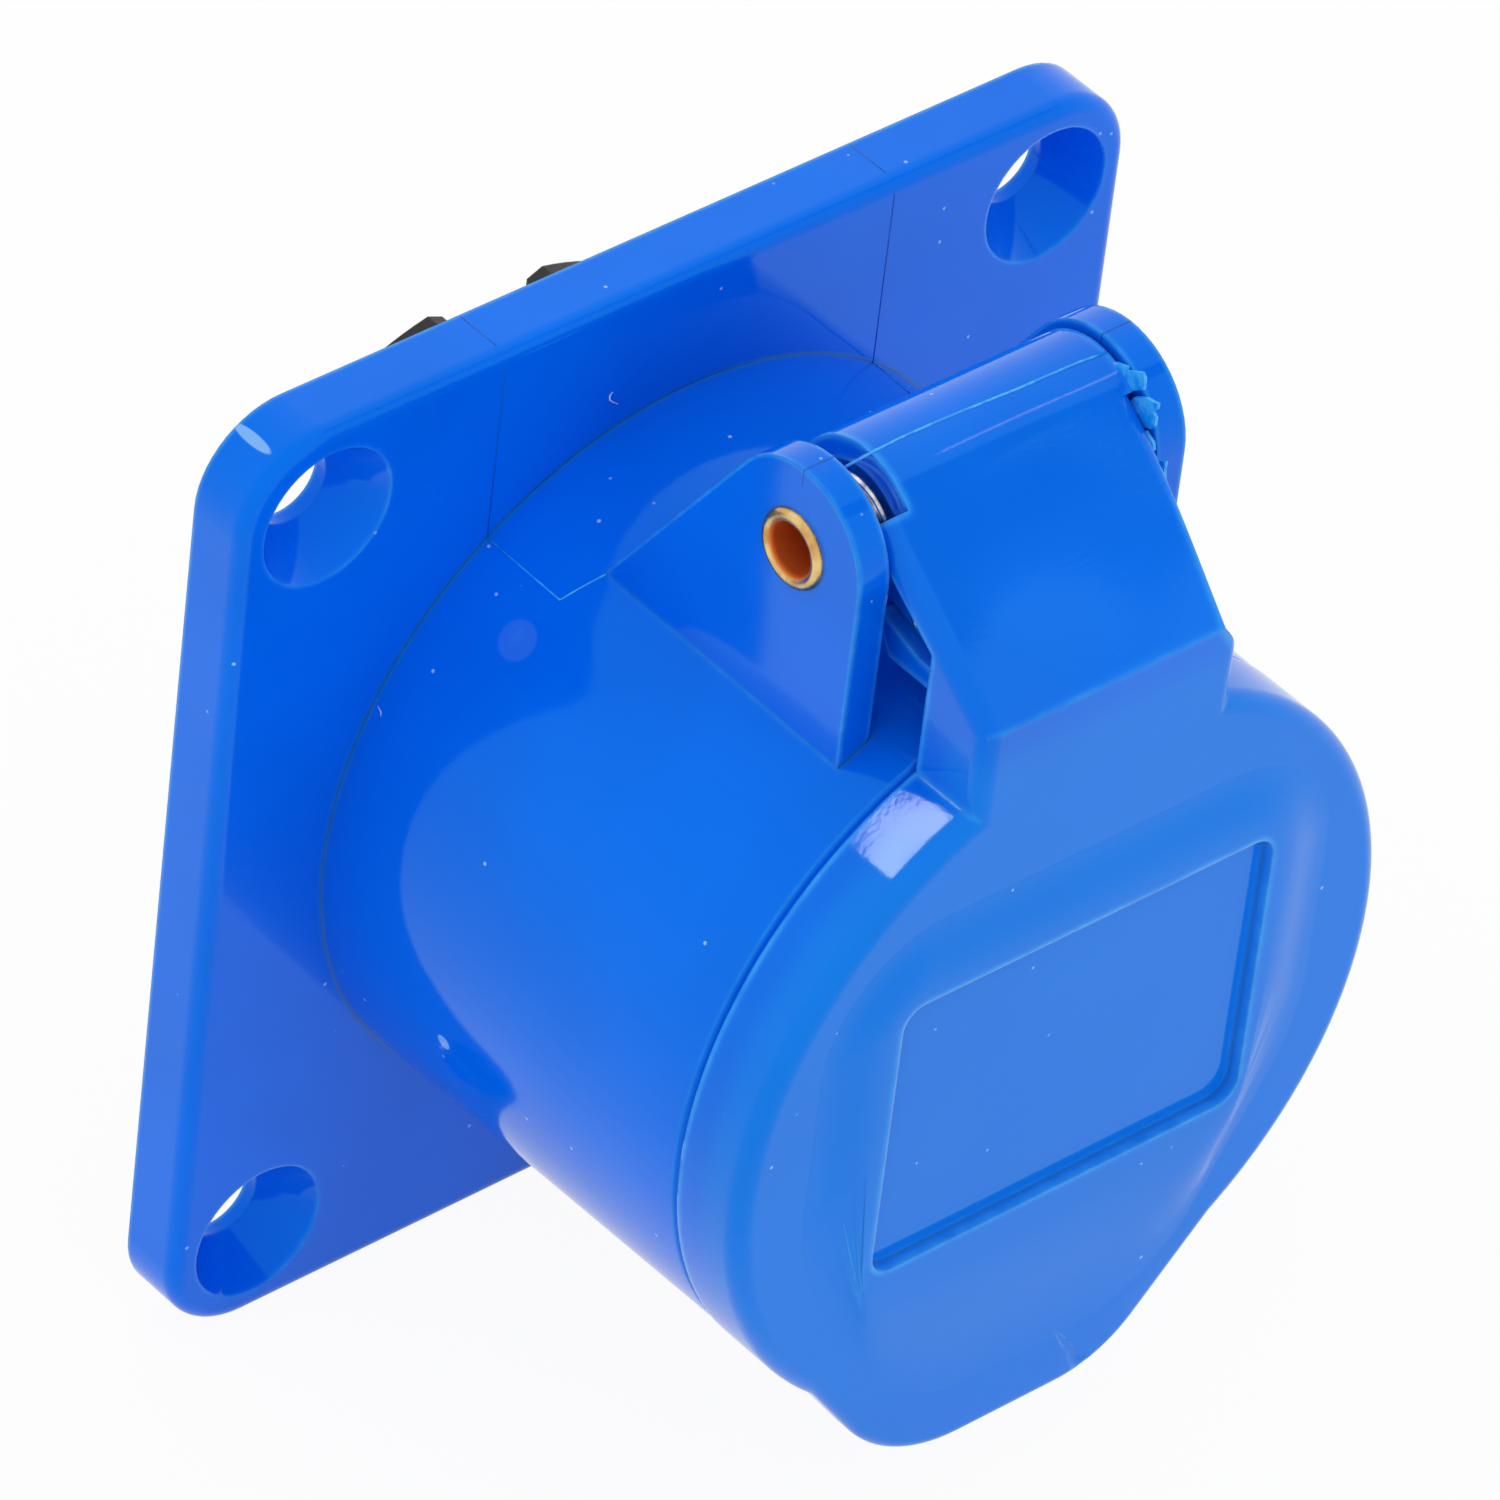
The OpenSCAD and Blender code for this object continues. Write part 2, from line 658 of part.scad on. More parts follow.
module terminal_block() {
    color(black) difference() {
        union() {
            bar_y(block_r, stack_y, block_base);
            tower(line_at, tower_w);
            tower(neutral_at, tower_w);
            tower(earth_at, earth_tower_w);
        }
        for (c = contacts) {
            at = place(c);
            bar_y(shank_r(c) + gap, stack_y - cut, sleeve_end + gap, at);
            bar_y(wire_bore_r + wire_entry, sleeve_end, block_len + cut, at);
            bar_y(wire_bore_r + wire_entry, block_len - wire_entry, block_len + cut, at, wire_bore_r + 2 * wire_entry);
            translate([at[0], screw_at, at[1]]) rotate([c[2] > 0 ? 0 : 180, 0, 0]) cylinder(h = block_r, r = driver_bore_r);
        }
        bar_y(centre_shaft_r + loose, stack_y - cut, block_base + cut);
        translate([-tab_w / 2 - loose, stack_y - cut, seat_r - tab_h - loose])
            cube([tab_w + 2 * loose, block_base - stack_y + 2 * cut, tab_h + 1]);
    }
}

module sleeve(c) {
    at = place(c);
    r = sleeve_r(c);
    collar_rear = stack_y - gap / 2;
    color(brass) difference() {
        union() {
            bar_y(r, sleeve_front, collar_rear, at);
            bar_y(r + collar_h, collar_rear - collar_t, collar_rear, at);
            bar_y(shank_r(c), collar_rear - cut, sleeve_end, at);
        }
        bar_y(c[0], sleeve_front - cut, sleeve_front + pin_len, at);
        bar_y(wire_bore_r, sleeve_end - wire_bore_len, sleeve_end + cut, at);
        for (a = [45, 135]) translate([at[0], sleeve_front - cut, at[1]]) rotate([0, a, 0])
            translate([-r - 1, 0, -slot_w / 2]) cube([2 * r + 2, slot_len + cut, slot_w]);
        difference() {
            bar_y(r + 1, sleeve_front + groove_at, sleeve_front + groove_at + groove_w + 2 * slip, at);
            bar_y(r - groove_d, sleeve_front, sleeve_front + slot_len, at);
        }
        translate([at[0], screw_at, at[1]]) rotate([c[2] > 0 ? 0 : 180, 0, 0])
            cylinder(h = 2 * r, r = screw_r + slip);
    }
}

module clip(c) {
    at = place(c);
    y0 = sleeve_front + groove_at + slip;
    color(steel) difference() {
        bar_y(clip_in_r(c) + clip_t, y0, y0 + groove_w, at);
        bar_y(clip_in_r(c), y0 - cut, y0 + groove_w + cut, at);
        translate([at[0] - clip_gap_w / 2, y0 - cut, at[1]])
            cube([clip_gap_w, groove_w + 2 * cut, 2 * sleeve_r(c)]);
    }
}

module terminal_screw(c) {
    at = place(c);
    color(steel) translate([at[0], screw_at, at[1]]) rotate([c[2] > 0 ? 0 : 180, 0, 0])
        translate([0, 0, screw_foot - wire_bore_r]) difference() {
            union() {
                cylinder(h = screw_point, r1 = screw_r - screw_point, r2 = screw_r);
                translate([0, 0, screw_point]) cylinder(h = screw_len - screw_point, r = screw_r);
                translate([0, 0, screw_len]) cylinder(h = screw_head_h, r = screw_head_r);
            }
            translate([-screw_head_r - cut, -screw_slot_w / 2, screw_len + screw_head_h - screw_slot_d])
                cube([2 * (screw_head_r + cut), screw_slot_w, screw_slot_d + cut]);
        }
}

module centre_screw() {
    color(steel) difference() {
        union() {
            bar_y(centre_shaft_r, block_base - centre_len, block_base + cut);
            bar_y(centre_head_r, block_base, block_base + centre_head_h);
        }
        for (a = [0, 90]) translate([0, block_base + centre_head_h - cross_d, 0]) rotate([0, a, 0])
            translate([-cross_len / 2, 0, -cross_w / 2]) cube([cross_len, cross_d + cut, cross_w]);
    }
}

module line_sleeve() { sleeve(line_at); }
module neutral_sleeve() { sleeve(neutral_at); }
module earth_sleeve() { sleeve(earth_at); }
module line_clip() { clip(line_at); }
module neutral_clip() { clip(neutral_at); }
module earth_clip() { clip(earth_at); }
module line_screw() { terminal_screw(line_at); }
module neutral_screw() { terminal_screw(neutral_at); }
module earth_screw() { terminal_screw(earth_at); }

housing();
lid();
lid_gasket();
hinge_rivet();
hinge_spring();
contact_carrier();
terminal_block();
line_sleeve();
neutral_sleeve();
earth_sleeve();
line_clip();
neutral_clip();
earth_clip();
line_screw();
neutral_screw();
earth_screw();
centre_screw();
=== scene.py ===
import math

import bmesh
import bpy
from mathutils import Matrix, Vector


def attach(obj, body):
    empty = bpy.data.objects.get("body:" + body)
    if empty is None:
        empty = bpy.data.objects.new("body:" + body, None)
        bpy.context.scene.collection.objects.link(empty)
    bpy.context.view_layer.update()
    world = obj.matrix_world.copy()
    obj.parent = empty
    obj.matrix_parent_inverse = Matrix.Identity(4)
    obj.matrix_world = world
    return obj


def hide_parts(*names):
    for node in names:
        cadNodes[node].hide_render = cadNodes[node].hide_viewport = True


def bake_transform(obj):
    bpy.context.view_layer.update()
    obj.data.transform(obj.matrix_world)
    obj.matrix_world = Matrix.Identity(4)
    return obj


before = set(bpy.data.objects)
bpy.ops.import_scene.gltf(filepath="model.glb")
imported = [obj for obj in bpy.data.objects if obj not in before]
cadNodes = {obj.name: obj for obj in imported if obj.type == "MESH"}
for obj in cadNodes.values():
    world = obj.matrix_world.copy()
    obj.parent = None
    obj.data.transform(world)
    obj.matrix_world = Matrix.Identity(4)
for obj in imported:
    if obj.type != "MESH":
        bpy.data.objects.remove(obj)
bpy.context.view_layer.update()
mm = 0.001
hingeAxis = Vector((0, -27.9, 34.9))  # a point of the rivet's axis, which runs along x, in mm
print("frame loaded:", len(cadNodes), "nodes")


def linearColor(hexText):  # sRGB hex to the linear colour that the sockets want
    values = [int(hexText[i:i + 2], 16) / 255 for i in (1, 3, 5)]
    return [v / 12.92 if v <= 0.04045 else ((v + 0.055) / 1.055) ** 2.4 for v in values] + [1.0]


def addNode(tree, kind, sockets=None, **settings):  # one node with its settings, values and links
    node = tree.nodes.new(kind)
    for name, value in settings.items():
        setattr(node, name, value)
    for key, value in (sockets or {}).items():
        if isinstance(value, bpy.types.NodeSocket):
            tree.links.new(value, node.inputs[key])
        else:
            node.inputs[key].default_value = value
    return node


def newMaterial(name, surface):
    made = bpy.data.materials.new(name)
    made.use_nodes = True
    tree = made.node_tree
    tree.nodes.clear()
    shader = addNode(tree, "ShaderNodeBsdfPrincipled", surface)
    addNode(tree, "ShaderNodeOutputMaterial", {"Surface": shader.outputs["BSDF"]})
    coords = addNode(tree, "ShaderNodeTexCoord").outputs["Object"]
    return made, tree, shader, coords


def cloudedTone(tree, coords, look):  # a slow noise, and the colour between two tones that it picks
    cloud = addNode(tree, "ShaderNodeTexNoise", {
        "Vector": coords, "Scale": 1 / (look["cloudMm"] * mm), "Detail": look["cloudDetail"]})
    tone = addNode(tree, "ShaderNodeValToRGB", {"Fac": cloud.outputs["Fac"]})
    tone.color_ramp.interpolation = "EASE"
    for element, place, hexText in zip(tone.color_ramp.elements, look["cloudStops"], look["tones"]):
        element.position = place
        element.color = linearColor(hexText)
    return cloud.outputs["Fac"], tone.outputs["Color"]


def addGrain(tree, shader, coords, look, below=None):  # a fine noise as a bump, over the normal below
    grain = addNode(tree, "ShaderNodeTexNoise", {
        "Vector": coords, "Scale": 1 / (look["grainMm"] * mm), "Detail": look["grainDetail"]})
    sockets = {
        "Height": grain.outputs["Fac"],
        "Strength": look["grainShare"],
        "Distance": look["grainRiseMm"] * mm,
    }
    if below:
        sockets["Normal"] = below
    bump = addNode(tree, "ShaderNodeBump", sockets)
    tree.links.new(bump.outputs["Normal"], shader.inputs["Normal"])
    return grain.outputs["Fac"]


# Glossy injection-moulded polyamide in signal blue: deep even colour under a clear mirror gloss,
# a slow sink ripple, outer edges painted lighter as a painted highlight, hollow corners painted darker
# as painted shade, a few pale specks of dust
housingPolyamide = {
    "name": "glossyMouldedPolyamide",
    "tones": ("#0067ec", "#006df5"), "cloudMm": 18, "cloudDetail": 2.0, "cloudStops": (0.35, 0.65),
    # the blue plastic takes red out of what it mirrors; its roughness follows the clouds
    "mirrored": (0.1, 0.88, 1.0, 1.0), "gloss": (0.06, 0.1), "glossStops": (0.3, 0.7),
    "rippleMm": 9, "rippleRiseMm": 0.07, "softMm": 0.3,
    "grainMm": 0.35, "grainDetail": 2.0, "grainShare": 0.15, "grainRiseMm": 0.01,
    # dust: small rounds in six cells of ten, few of which meet the surface, drawn coarser than
    # real dust so that they show; their radii are shares of a cell
    "speck": "#b4d6ff", "speckMm": 2.6, "speckRadii": (0.03, 0.06), "speckShare": 0.75, "speckless": 0.4,
    # outer edges, painted lighter as a painted highlight: the width of the bevel, the cosines from its
    # normal to the face's own between which the painted highlight comes in, and the uneven patches that vary
    # it
    "edge": "#36a2ff", "edgeMm": 0.7, "edgeCos": (0.997, 0.9), "edgeHighlightShare": 0.6,
    "raggedMm": 1.6, "raggedStops": (0.3, 0.7), "raggedShares": (0.6, 1.3),
    # hollow corners, painted darker as painted shade: how far around is looked, and the open shares of the
    # surroundings between which the painted highlight stops and the painted shade comes in
    "cornerShade": "#00338c", "hollowReachMm": 0.5, "highlightOpen": (0.6, 0.92), "cornerShadeOpen": (0.5, 0.8), "cornerShadeShare": 0.75,
    # the mould's parting line over the ears: half its width at full and at no strength, and the
    # level from which it shows
    "parting": {"color": "#00338c", "y": -27.95, "halfMm": (0.03, 0.09), "share": 0.6, "fromZ": 39.6},
    # paler marks in the gloss: an ejector's print, a dent, and a painted glint along the top left
    # corner's round, each with a radius, how many times longer it is along y, and its share
    "markAndGlint": "#8fc2ff", "markCore": 0.75,
    "marks": (((-18.0, -10.9, 18.6), 1.5, 1, 0.08), ((-25.0, -15.7, -6.4), 0.6, 1, 0.8),
              # the last is a painted glint, a highlight painted along the flange's top left corner
              ((-32.24, -1.5, 34.04), 0.42, 4.5, 0.8)),
    "paintedFaceLight": None, "sunk": None,
}
# The lid's is the same stuff, but its front face is painted lighter and greener than its arm, a painted
# brighter light on the face, and its arm sank more in the mould than its disc
lidPolyamide = dict(
    housingPolyamide, name="lidMouldedPolyamide", tones=("#0068e8", "#006ef1"),
    mirrored=(0.2, 0.88, 1.0, 1.0), gloss=(0.04, 0.07), rippleRiseMm=0.12,
    edgeMm=1.1, edgeHighlightShare=0.75, cornerShadeShare=0.3, parting=None, marks=(),
    # the front face painted lighter, a painted brighter light on it
    paintedFaceLight={"color": "#0a80ec", "share": 0.55, "alongY": (-38.5, -41.5), "alongZ": (30, 25)},
    sunk={"alongZ": (25, 30), "shares": (0.3, 1.0)})


# Each layer of the blue is a share, as a socket, and the colour that it mixes in over those below
# painted light: the lid's front face made lighter and greener, as brighter light on it
def paintedFaceLightLayer(tree, place, paintedFaceLight):
    front, up = (addNode(tree, "ShaderNodeMapRange", {
        "Value": value, "From Min": start * mm, "From Max": end * mm, "To Min": 0.0, "To Max": most,
    }, interpolation_type="SMOOTHERSTEP") for value, (start, end), most in (
        (place["Y"], paintedFaceLight["alongY"], paintedFaceLight["share"]), (place["Z"], paintedFaceLight["alongZ"], 1.0)))
    faceLight = addNode(tree, "ShaderNodeMath", {
        0: front.outputs["Result"], 1: up.outputs["Result"]}, operation="MULTIPLY")
    return faceLight.outputs["Value"], paintedFaceLight["color"]


def dustLayer(tree, coords, look):
    cell = addNode(tree, "ShaderNodeTexVoronoi", {
        "Vector": coords, "Scale": 1 / (look["speckMm"] * mm)}).outputs
    inner, outer = look["speckRadii"]
    dot = addNode(tree, "ShaderNodeMapRange", {
        "Value": cell["Distance"], "From Min": inner, "From Max": outer,
        "To Min": look["speckShare"], "To Max": 0.0})
    draw = addNode(tree, "ShaderNodeSeparateColor", {"Color": cell["Color"]})
    chosen = addNode(tree, "ShaderNodeMath", {
        0: draw.outputs["Red"], 1: look["speckless"]}, operation="GREATER_THAN")
    dust = addNode(tree, "ShaderNodeMath", {
        0: dot.outputs["Result"], 1: chosen.outputs["Value"]}, operation="MULTIPLY")
    return dust.outputs["Value"], look["speck"]


# painted highlight along outer edges and painted shade in hollow corners, both as colour
def edgeHighlightAndShade(tree, coords, look):  # near an edge, the normal of a wide bevel leaves the face's own
    wide = addNode(tree, "ShaderNodeBevel", {"Radius": look["edgeMm"] * mm}, samples=8)
    face = addNode(tree, "ShaderNodeNewGeometry").outputs["Normal"]
    same = addNode(tree, "ShaderNodeVectorMath", {
        0: wide.outputs["Normal"], 1: face}, operation="DOT_PRODUCT")
    flat, turned = look["edgeCos"]
    rim = addNode(tree, "ShaderNodeMapRange", {
        "Value": same.outputs["Value"], "From Min": flat, "From Max": turned,
        "To Min": 0.0, "To Max": look["edgeHighlightShare"]}, interpolation_type="SMOOTHERSTEP")
    ragged = addNode(tree, "ShaderNodeTexNoise", {
        "Vector": coords, "Scale": 1 / (look["raggedMm"] * mm), "Detail": 2.0})
    low, high = look["raggedStops"]
    weaker, stronger = look["raggedShares"]
    uneven = addNode(tree, "ShaderNodeMapRange", {
        "Value": ragged.outputs["Fac"], "From Min": low, "From Max": high,
        "To Min": weaker, "To Max": stronger})
    hollow = addNode(tree, "ShaderNodeAmbientOcclusion", {
        "Distance": look["hollowReachMm"] * mm}, samples=6, only_local=True)
    shut, free = look["highlightOpen"]
    outerOnly = addNode(tree, "ShaderNodeMapRange", {
        "Value": hollow.outputs["AO"], "From Min": shut, "From Max": free})
    # painted highlight: the lighter colour along outer edges, kept out of hollow corners
    glow = rim.outputs["Result"]
    for factor in (uneven, outerOnly):
        glow = addNode(tree, "ShaderNodeMath", {
            0: glow, 1: factor.outputs["Result"]}, operation="MULTIPLY").outputs["Value"]
    # painted shade: the darker colour in hollow corners
    shut, free = look["cornerShadeOpen"]
    cornerShade = addNode(tree, "ShaderNodeMapRange", {
        "Value": hollow.outputs["AO"], "From Min": shut, "From Max": free,
        "To Min": look["cornerShadeShare"], "To Max": 0.0})
    return (glow, look["edge"]), (cornerShade.outputs["Result"], look["cornerShade"])


def partingLayer(tree, place, parting):
    off = addNode(tree, "ShaderNodeMath", {0: place["Y"], 1: parting["y"] * mm}, operation="SUBTRACT")
    off = addNode(tree, "ShaderNodeMath", {0: off.outputs["Value"]}, operation="ABSOLUTE")
    core, side = parting["halfMm"]
    thin = addNode(tree, "ShaderNodeMapRange", {
        "Value": off.outputs["Value"], "From Min": core * mm, "From Max": side * mm,
        "To Min": parting["share"], "To Max": 0.0})
    above = addNode(tree, "ShaderNodeMath", {
        0: place["Z"], 1: parting["fromZ"] * mm}, operation="GREATER_THAN")
    line = addNode(tree, "ShaderNodeMath", {
        0: thin.outputs["Result"], 1: above.outputs["Value"]}, operation="MULTIPLY")
    return line.outputs["Value"], parting["color"]


# a paler mark; the stretched one on the flange's top left corner is a painted glint
def markLayer(tree, coords, look, middle, radius, longer, share):
    offset = addNode(tree, "ShaderNodeVectorMath", {
        0: coords, 1: [v * mm for v in middle]}, operation="SUBTRACT")
    squeezed = addNode(tree, "ShaderNodeVectorMath", {
        0: offset.outputs["Vector"], 1: (1, 1 / longer, 1)}, operation="MULTIPLY")
    away = addNode(tree, "ShaderNodeVectorMath", {0: squeezed.outputs["Vector"]}, operation="LENGTH")
    mark = addNode(tree, "ShaderNodeMapRange", {
        "Value": away.outputs["Value"], "From Min": radius * look["markCore"] * mm,
        "From Max": radius * mm, "To Min": share, "To Max": 0.0}, interpolation_type="SMOOTHERSTEP")
    return mark.outputs["Result"], look["markAndGlint"]


def makeBluePolyamide(look):
    made, tree, shader, coords = newMaterial(look["name"], {
        "IOR": 1.5, "Specular IOR Level": 0.5, "Specular Tint": look["mirrored"]})
    cloud, color = cloudedTone(tree, coords, look)
    place = addNode(tree, "ShaderNodeSeparateXYZ", {0: coords}).outputs
    layers = [paintedFaceLightLayer(tree, place, look["paintedFaceLight"])] if look["paintedFaceLight"] else []
    layers.append(dustLayer(tree, coords, look))
    layers += edgeHighlightAndShade(tree, coords, look)
    if look["parting"]:
        layers.append(partingLayer(tree, place, look["parting"]))
    layers += [markLayer(tree, coords, look, *mark) for mark in look["marks"]]
    for share, over in layers:
        mixed = addNode(tree, "ShaderNodeMix", {
            0: share, 6: color, 7: linearColor(over)}, data_type="RGBA")
        color = mixed.outputs[2]
    tree.links.new(color, shader.inputs["Base Color"])

    low, high = look["glossStops"]
    clearer, duller = look["gloss"]
    gloss = addNode(tree, "ShaderNodeMapRange", {
        "Value": cloud, "From Min": low, "From Max": high, "To Min": clearer, "To Max": duller})
    tree.links.new(gloss.outputs["Result"], shader.inputs["Roughness"])

    ripple = addNode(tree, "ShaderNodeTexNoise", {
        "Vector": coords, "Scale": 1 / (look["rippleMm"] * mm), "Detail": 0.0}).outputs["Fac"]
    sunk = look["sunk"]
    if sunk:
        low, high = sunk["alongZ"]
        weaker, stronger = sunk["shares"]
        depth = addNode(tree, "ShaderNodeMapRange", {
            "Value": place["Z"], "From Min": low * mm, "From Max": high * mm,
            "To Min": weaker, "To Max": stronger})
        ripple = addNode(tree, "ShaderNodeMath", {
            0: ripple, 1: depth.outputs["Result"]}, operation="MULTIPLY").outputs["Value"]
    soft = addNode(tree, "ShaderNodeBevel", {"Radius": look["softMm"] * mm}, samples=6)
    wave = addNode(tree, "ShaderNodeBump", {
        "Height": ripple, "Strength": 1.0, "Distance": look["rippleRiseMm"] * mm,
        "Normal": soft.outputs["Normal"]})
    addGrain(tree, shader, coords, look, wave.outputs["Normal"])
    return made


# Glass-filled polyamide in black: dull satin with a fine grain and faint grey flow marks
blackPolyamide = {
    "name": "glassFilledPolyamideBlack",
    "tones": ("#0c0c0d", "#1b1b1c"), "cloudMm": 6, "cloudDetail": 4.0, "cloudStops": (0.35, 0.7),
    "satin": (0.38, 0.6), "edgeMm": 0.2,
    "grainMm": 0.25, "grainDetail": 3.0, "grainShare": 0.4, "grainRiseMm": 0.03,
}


def makeBlackPolyamide(look):
    made, tree, shader, coords = newMaterial(look["name"], {"IOR": 1.5})
    color = cloudedTone(tree, coords, look)[1]
    tree.links.new(color, shader.inputs["Base Color"])
    edge = addNode(tree, "ShaderNodeBevel", {"Radius": look["edgeMm"] * mm}, samples=6)
    grain = addGrain(tree, shader, coords, look, edge.outputs["Normal"])
    clearer, duller = look["satin"]
    satin = addNode(tree, "ShaderNodeMapRange", {"Value": grain, "To Min": clearer, "To Max": duller})
    tree.links.new(satin.outputs["Result"], shader.inputs["Roughness"])
    return made


# What all the metals share: cloudy patches and fine lines, drawn as coarse as they need to show
metalSurface = {
    "cloudDetail": 4.0, "cloudStops": (0.3, 0.62), "bore": None,
    "grainDetail": 2.0, "grainShare": 0.25, "grainRiseMm": 0.01,
}
# Drawn brass tube, closed over in a press: pale yellow rolled lip with fine drawing lines,
# copper-red and darker in the bore, where no air has polished it
drawnBrass = dict(
    metalSurface, name="drawnBrassTube", tones=("#c99a55", "#f0cf8c"), cloudMm=1.6, grainMm=0.06,
    rough=(0.19, 0.36), bore={"color": "#e8823c", "radiiMm": (1.78, 2.0), "duller": 0.4})
# Turned brass of the contact sleeves: brighter, with fine rings from the lathe
turnedBrass = dict(
    metalSurface, name="turnedBrass", tones=("#b48a42", "#d8b25e"), cloudMm=3, grainMm=0.12,
    rough=(0.15, 0.32))
# Bright zinc-plated steel of the screws and clips: cool grey, slightly cloudy
zincSteel = dict(
    metalSurface, name="zincPlatedSteel", tones=("#8f9398", "#cfd2d6"), cloudMm=1.5, grainMm=0.1,
    rough=(0.23, 0.4))
# Hard-drawn spring wire, nickel bright
springWire = dict(
    metalSurface, name="nickelSpringWire", tones=("#b9b7b3", "#f2f1ee"), cloudMm=0.8, grainMm=0.08,
    rough=(0.13, 0.3))


def makeMetal(look):
    made, tree, shader, coords = newMaterial(look["name"], {"Metallic": 1.0})
    cloud, color = cloudedTone(tree, coords, look)
    clearer, duller = look["rough"]
    rough = addNode(tree, "ShaderNodeMapRange", {
        "Value": cloud, "To Min": clearer, "To Max": duller}).outputs["Result"]
    bore = look["bore"]
    if bore:  # its colour and roughness come in by the distance from the tube's own axis
        offset = addNode(tree, "ShaderNodeVectorMath", {0: coords, 1: hingeAxis * mm}, operation="SUBTRACT")
        across = addNode(tree, "ShaderNodeVectorMath", {
            0: offset.outputs["Vector"], 1: (0, 1, 1)}, operation="MULTIPLY")
        radius = addNode(tree, "ShaderNodeVectorMath", {0: across.outputs["Vector"]}, operation="LENGTH")
        inner, outer = bore["radiiMm"]
        inside = addNode(tree, "ShaderNodeMapRange", {
            "Value": radius.outputs["Value"], "From Min": inner * mm, "From Max": outer * mm,
            "To Min": 1.0, "To Max": 0.0}, interpolation_type="SMOOTHSTEP").outputs["Result"]
        mixed = addNode(tree, "ShaderNodeMix", {
            0: inside, 6: color, 7: linearColor(bore["color"])}, data_type="RGBA")
        color = mixed.outputs[2]
        rough = addNode(tree, "ShaderNodeMath", {
            0: inside, 1: bore["duller"], 2: rough}, operation="MULTIPLY_ADD").outputs["Value"]
    tree.links.new(color, shader.inputs["Base Color"])
    tree.links.new(rough, shader.inputs["Roughness"])
    addGrain(tree, shader, coords, look)
    return made


# Moulded nitrile rubber: nearly black, dull, with a slight grey bloom
nitrileRubber = {
    "name": "mouldedNitrileRubber", "ior": 1.52, "rough": 0.7,
    "tones": ("#101011", "#2b2b2d"), "cloudMm": 4, "cloudDetail": 5.0, "cloudStops": (0.4, 0.8),
    "grainMm": 0.3, "grainDetail": 2.0, "grainShare": 0.4, "grainRiseMm": 0.03,
}
# Torn polyamide flash: so thin that light comes through it, painted paler than the body as that light.
# The mould's lines on the barrel and the hood take it too, as a painted highlight along them
tornFlash = {
    "name": "tornPolyamideFlash", "ior": 1.5, "rough": 0.35,
    "tones": ("#159bf8", "#3db6ff"), "cloudMm": 0.7, "cloudDetail": 2.0, "cloudStops": (0.4, 0.6),
    "grainMm": 0.7, "grainDetail": 2.0, "grainShare": 0.5, "grainRiseMm": 0.04,
}
# Cotton lint from the packing: off-white, dull
cottonLint = dict(
    tornFlash, name="cottonLint", rough=0.9, tones=("#a9c6ef", "#e8f1ff"), cloudMm=0.5, grainMm=0.5)


def makeDullStuff(look):
    made, tree, shader, coords = newMaterial(look["name"], {
        "IOR": look["ior"], "Roughness": look["rough"]})
    color = cloudedTone(tree, coords, look)[1]
    tree.links.new(color, shader.inputs["Base Color"])
    addGrain(tree, shader, coords, look)
    return made


materials = {
    "blue": makeBluePolyamide(housingPolyamide),
    "lidBlue": makeBluePolyamide(lidPolyamide),
    "black": makeBlackPolyamide(blackPolyamide),
    "rivetBrass": makeMetal(drawnBrass),
    "sleeveBrass": makeMetal(turnedBrass),
    "steel": makeMetal(zincSteel),
    "wire": makeMetal(springWire),
    "rubber": makeDullStuff(nitrileRubber),
    "flash": makeDullStuff(tornFlash),
    "lint": makeDullStuff(cottonLint),
}
nodeMaterials = {
    "housing": "blue", "lid": "lidBlue", "lid_gasket": "rubber", "hinge_rivet": "rivetBrass",
    "contact_carrier": "black", "terminal_block": "black",
    "line_sleeve": "sleeveBrass", "neutral_sleeve": "sleeveBrass", "earth_sleeve": "sleeveBrass",
    "line_clip": "steel", "neutral_clip": "steel", "earth_clip": "steel", "centre_screw": "steel",
    "line_screw": "steel", "neutral_screw": "steel", "earth_screw": "steel", "hinge_spring": "wire",
}
for nodeName, key in nodeMaterials.items():
    cadNodes[nodeName].data.materials.clear()
    cadNodes[nodeName].data.materials.append(materials[key])
print("materials:", len(materials))

# The lid's rounded faces meet at less than this angle, its real edges at more
lidShading = {"smoothBelowDeg": 32}


def smoothShading(mesh, degrees):  # one soft normal wherever faces meet at less than this angle
    limit = math.cos(math.radians(degrees))

    def placeOf(corner):  # corners within a thousandth of a millimetre are one
        return tuple(round(v / mm, 3) for v in corner)

    around = {}
    for face in mesh.polygons:
        corners = [mesh.vertices[i].co for i in face.vertices]
        for k, corner in enumerate(corners):
            before = corners[k - 1] - corner
            after = corners[(k + 1) % len(corners)] - corner
            if before.length and after.length:
                share = before.angle(after) * face.area
                around.setdefault(placeOf(corner), []).append((face.normal.copy(), share))
    normals = []
    for face in mesh.polygons:
        for i in face.vertices:
            near = around.get(placeOf(mesh.vertices[i].co), ())
            alike = [normal * share for normal, share in near if normal.dot(face.normal) > limit]
            total = sum(alike, Vector())
            normals.append(total.normalized() if total.length else face.normal)
    mesh.normals_split_custom_set(normals)


smoothShading(cadNodes["lid"].data, lidShading["smoothBelowDeg"])
print("lid shading smoothed")


def newPiece(name, mesh, material, body=None):
    piece = bpy.data.objects.new(name, mesh)
    bpy.context.scene.collection.objects.link(piece)
    mesh.materials.append(materials[material])
    if body:
        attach(piece, body)
    return piece


def meshOf(name, made):  # a mesh of the faces made so far, all turned outward
    bmesh.ops.recalc_face_normals(made, faces=made.faces)
    mesh = bpy.data.meshes.new(name)
    made.to_mesh(mesh)
    made.free()
    return mesh


def bridge(made, ring, other):  # a band of four-sided faces between two rings of as many points
    for k in range(len(ring)):
        following = (k + 1) % len(ring)
        made.faces.new([ring[k], ring[following], other[following], other[k]])


